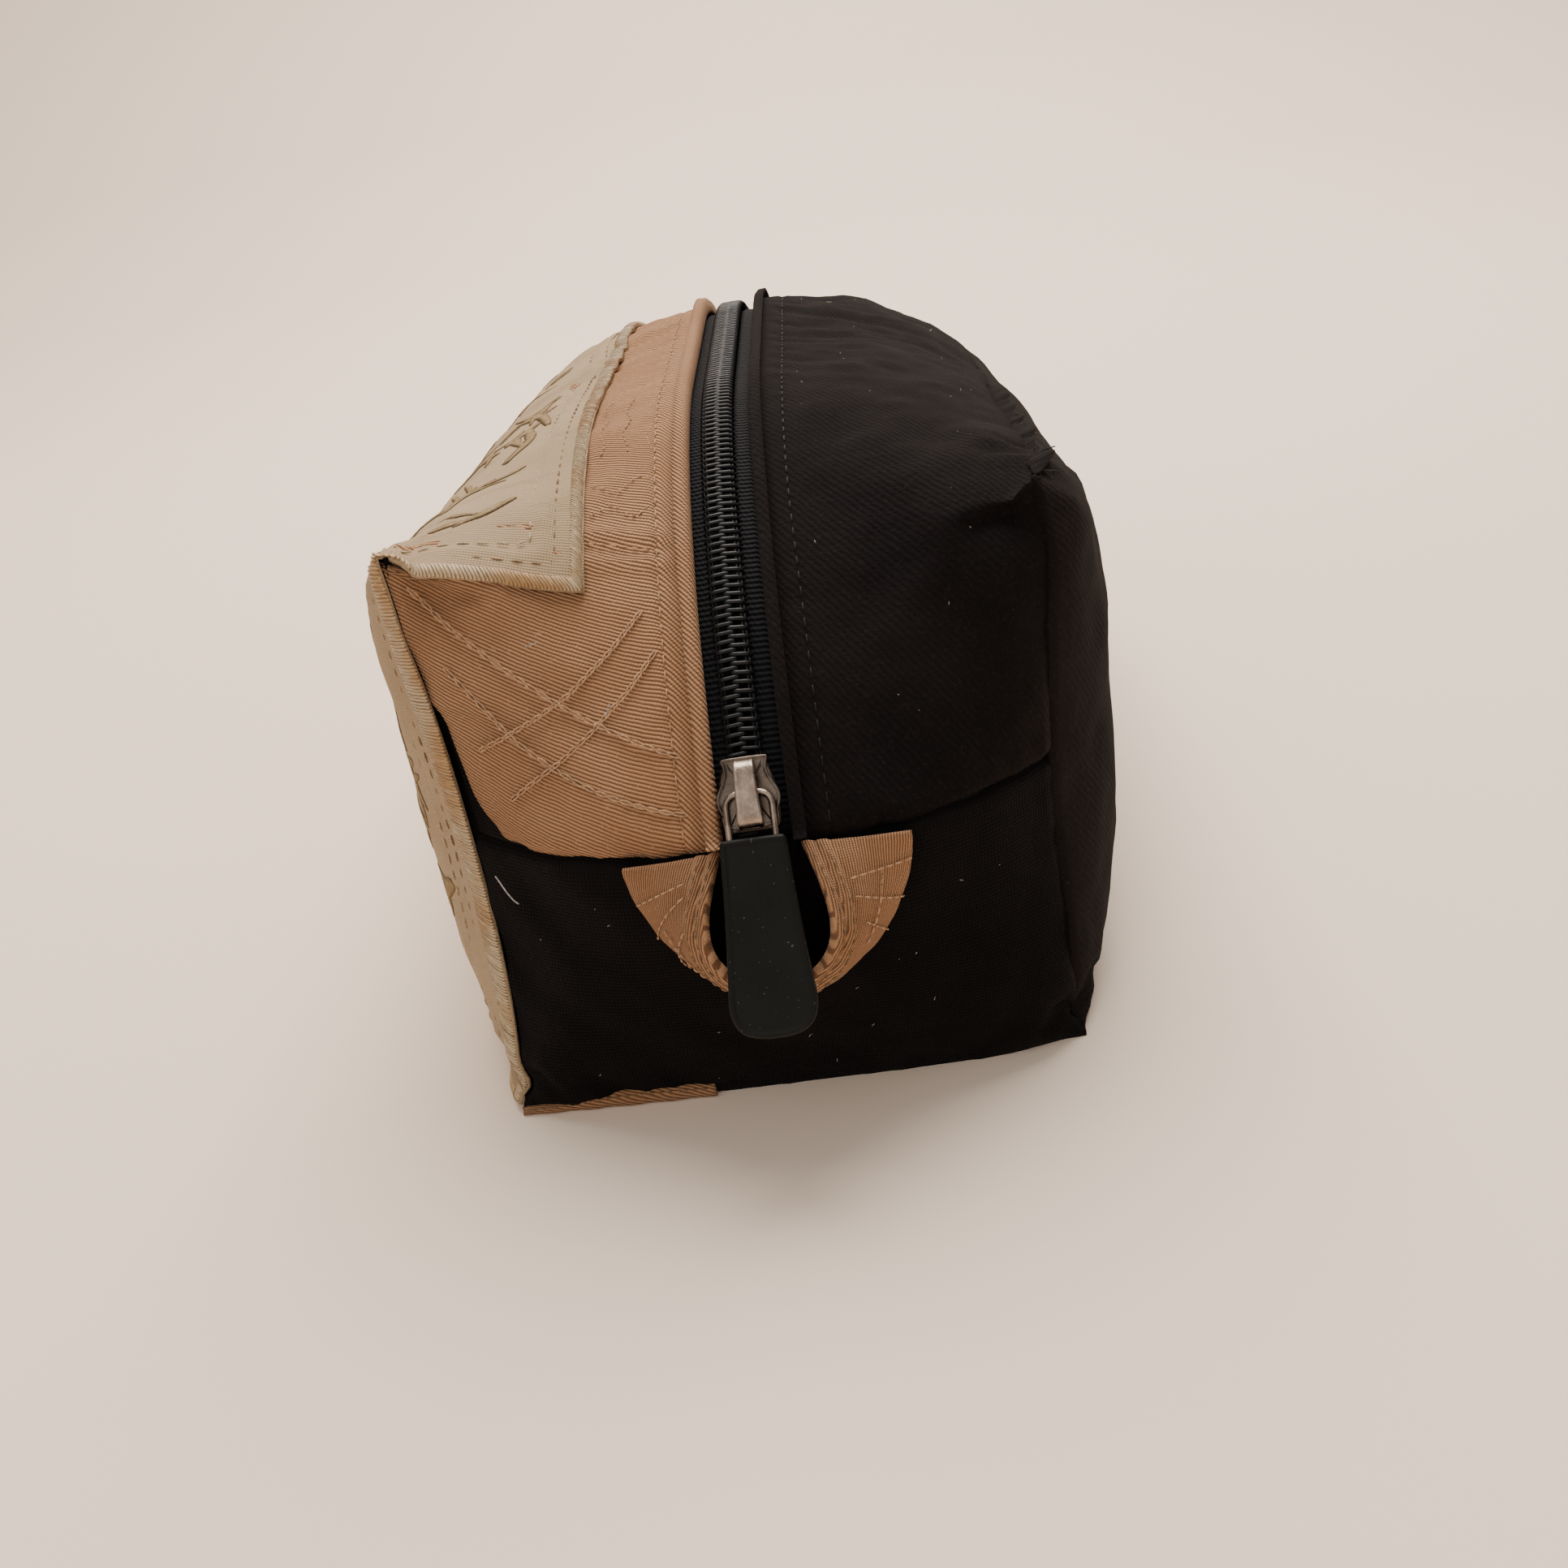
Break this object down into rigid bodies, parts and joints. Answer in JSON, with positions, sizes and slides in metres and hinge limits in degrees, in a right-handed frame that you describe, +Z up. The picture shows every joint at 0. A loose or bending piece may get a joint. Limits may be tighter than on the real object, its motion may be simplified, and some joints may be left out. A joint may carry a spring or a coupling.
{
  "type": "zipped box pouch",
  "caption": "Boxy zipped patchwork fabric pouch with an arched top zip, a slider with a ring and moulded pull, a wrapped side patch and a grab tab on the front end.",
  "frame": {"origin": "on the table under the middle of the bounding box of the closed pouch at rest", "axes": "+X to the pouch's right side, +Y from the front end (slider, pull and grab tab) to the back end, +Z up"},
  "size_m": [0.1244, 0.2724, 0.1132],
  "materials": {
    "khakiTwill": "ribbed twill",
    "blackWool": "brushed",
    "blackCanvas": "plain weave",
    "printedCotton": "printed plain weave",
    "satinThread": "satin stitch",
    "liningCloth": "plain weave",
    "zipTape": "herringbone tape",
    "nylonCoil": "satin",
    "darkNickel": "dark nickel plate",
    "blackRubber": "smooth moulded"
  },
  "bodies": {
    "pouch": {"base_panel_left": "khakiTwill", "base_panel_right": "blackCanvas", "front_end_panel": "blackCanvas", "back_end_panel": "blackCanvas", "side_panel_left": "blackCanvas", "side_panel_right": "blackWool", "front_flap_left": "khakiTwill", "front_flap_right": "blackWool", "top_panel_left": "khakiTwill", "top_panel_right": "blackWool", "back_flap_left": "khakiTwill", "back_flap_right": "blackWool", "lining_left": "liningCloth", "lining_right": "liningCloth", "lining_front": "liningCloth", "lining_back": "liningCloth", "lining_base": "liningCloth", "side_patch": "printedCotton", "patch_border": "satinThread", "zip_tape_left": "zipTape", "zip_tape_right": "zipTape", "zip_coil_left": "nylonCoil", "zip_coil_right": "nylonCoil", "grab_tab": "khakiTwill"},
    "slider": {"slider_body": "darkNickel", "slider_cap": "darkNickel"},
    "lock": {"lock_pin": "darkNickel"},
    "pull": {"pull_ring": "darkNickel", "pull_tab": "blackRubber"}
  },
  "joints": [
    {"name": "slider_travel", "type": "hinge", "parent": "pouch", "child": "slider", "pos_m": [0.00045, -0.01899, 0.002], "axis": [-1, 0, 0], "range_deg": [0, 52]},
    {"name": "pull_swing", "type": "hinge", "parent": "slider", "child": "pull", "pos_m": [0.00045, -0.11276, 0.06639], "axis": [-1, 0, 0], "range_deg": [0, 145]},
    {"name": "lock_lift", "type": "slide", "parent": "slider", "child": "lock", "axis": [0, -0.8243, 0.5661], "range_m": [0, 0.0006]}
  ],
  "couplings": [
    {"joint": "lock_lift", "follows": "pull_swing", "m_per_rad": 0.00023}
  ]
}
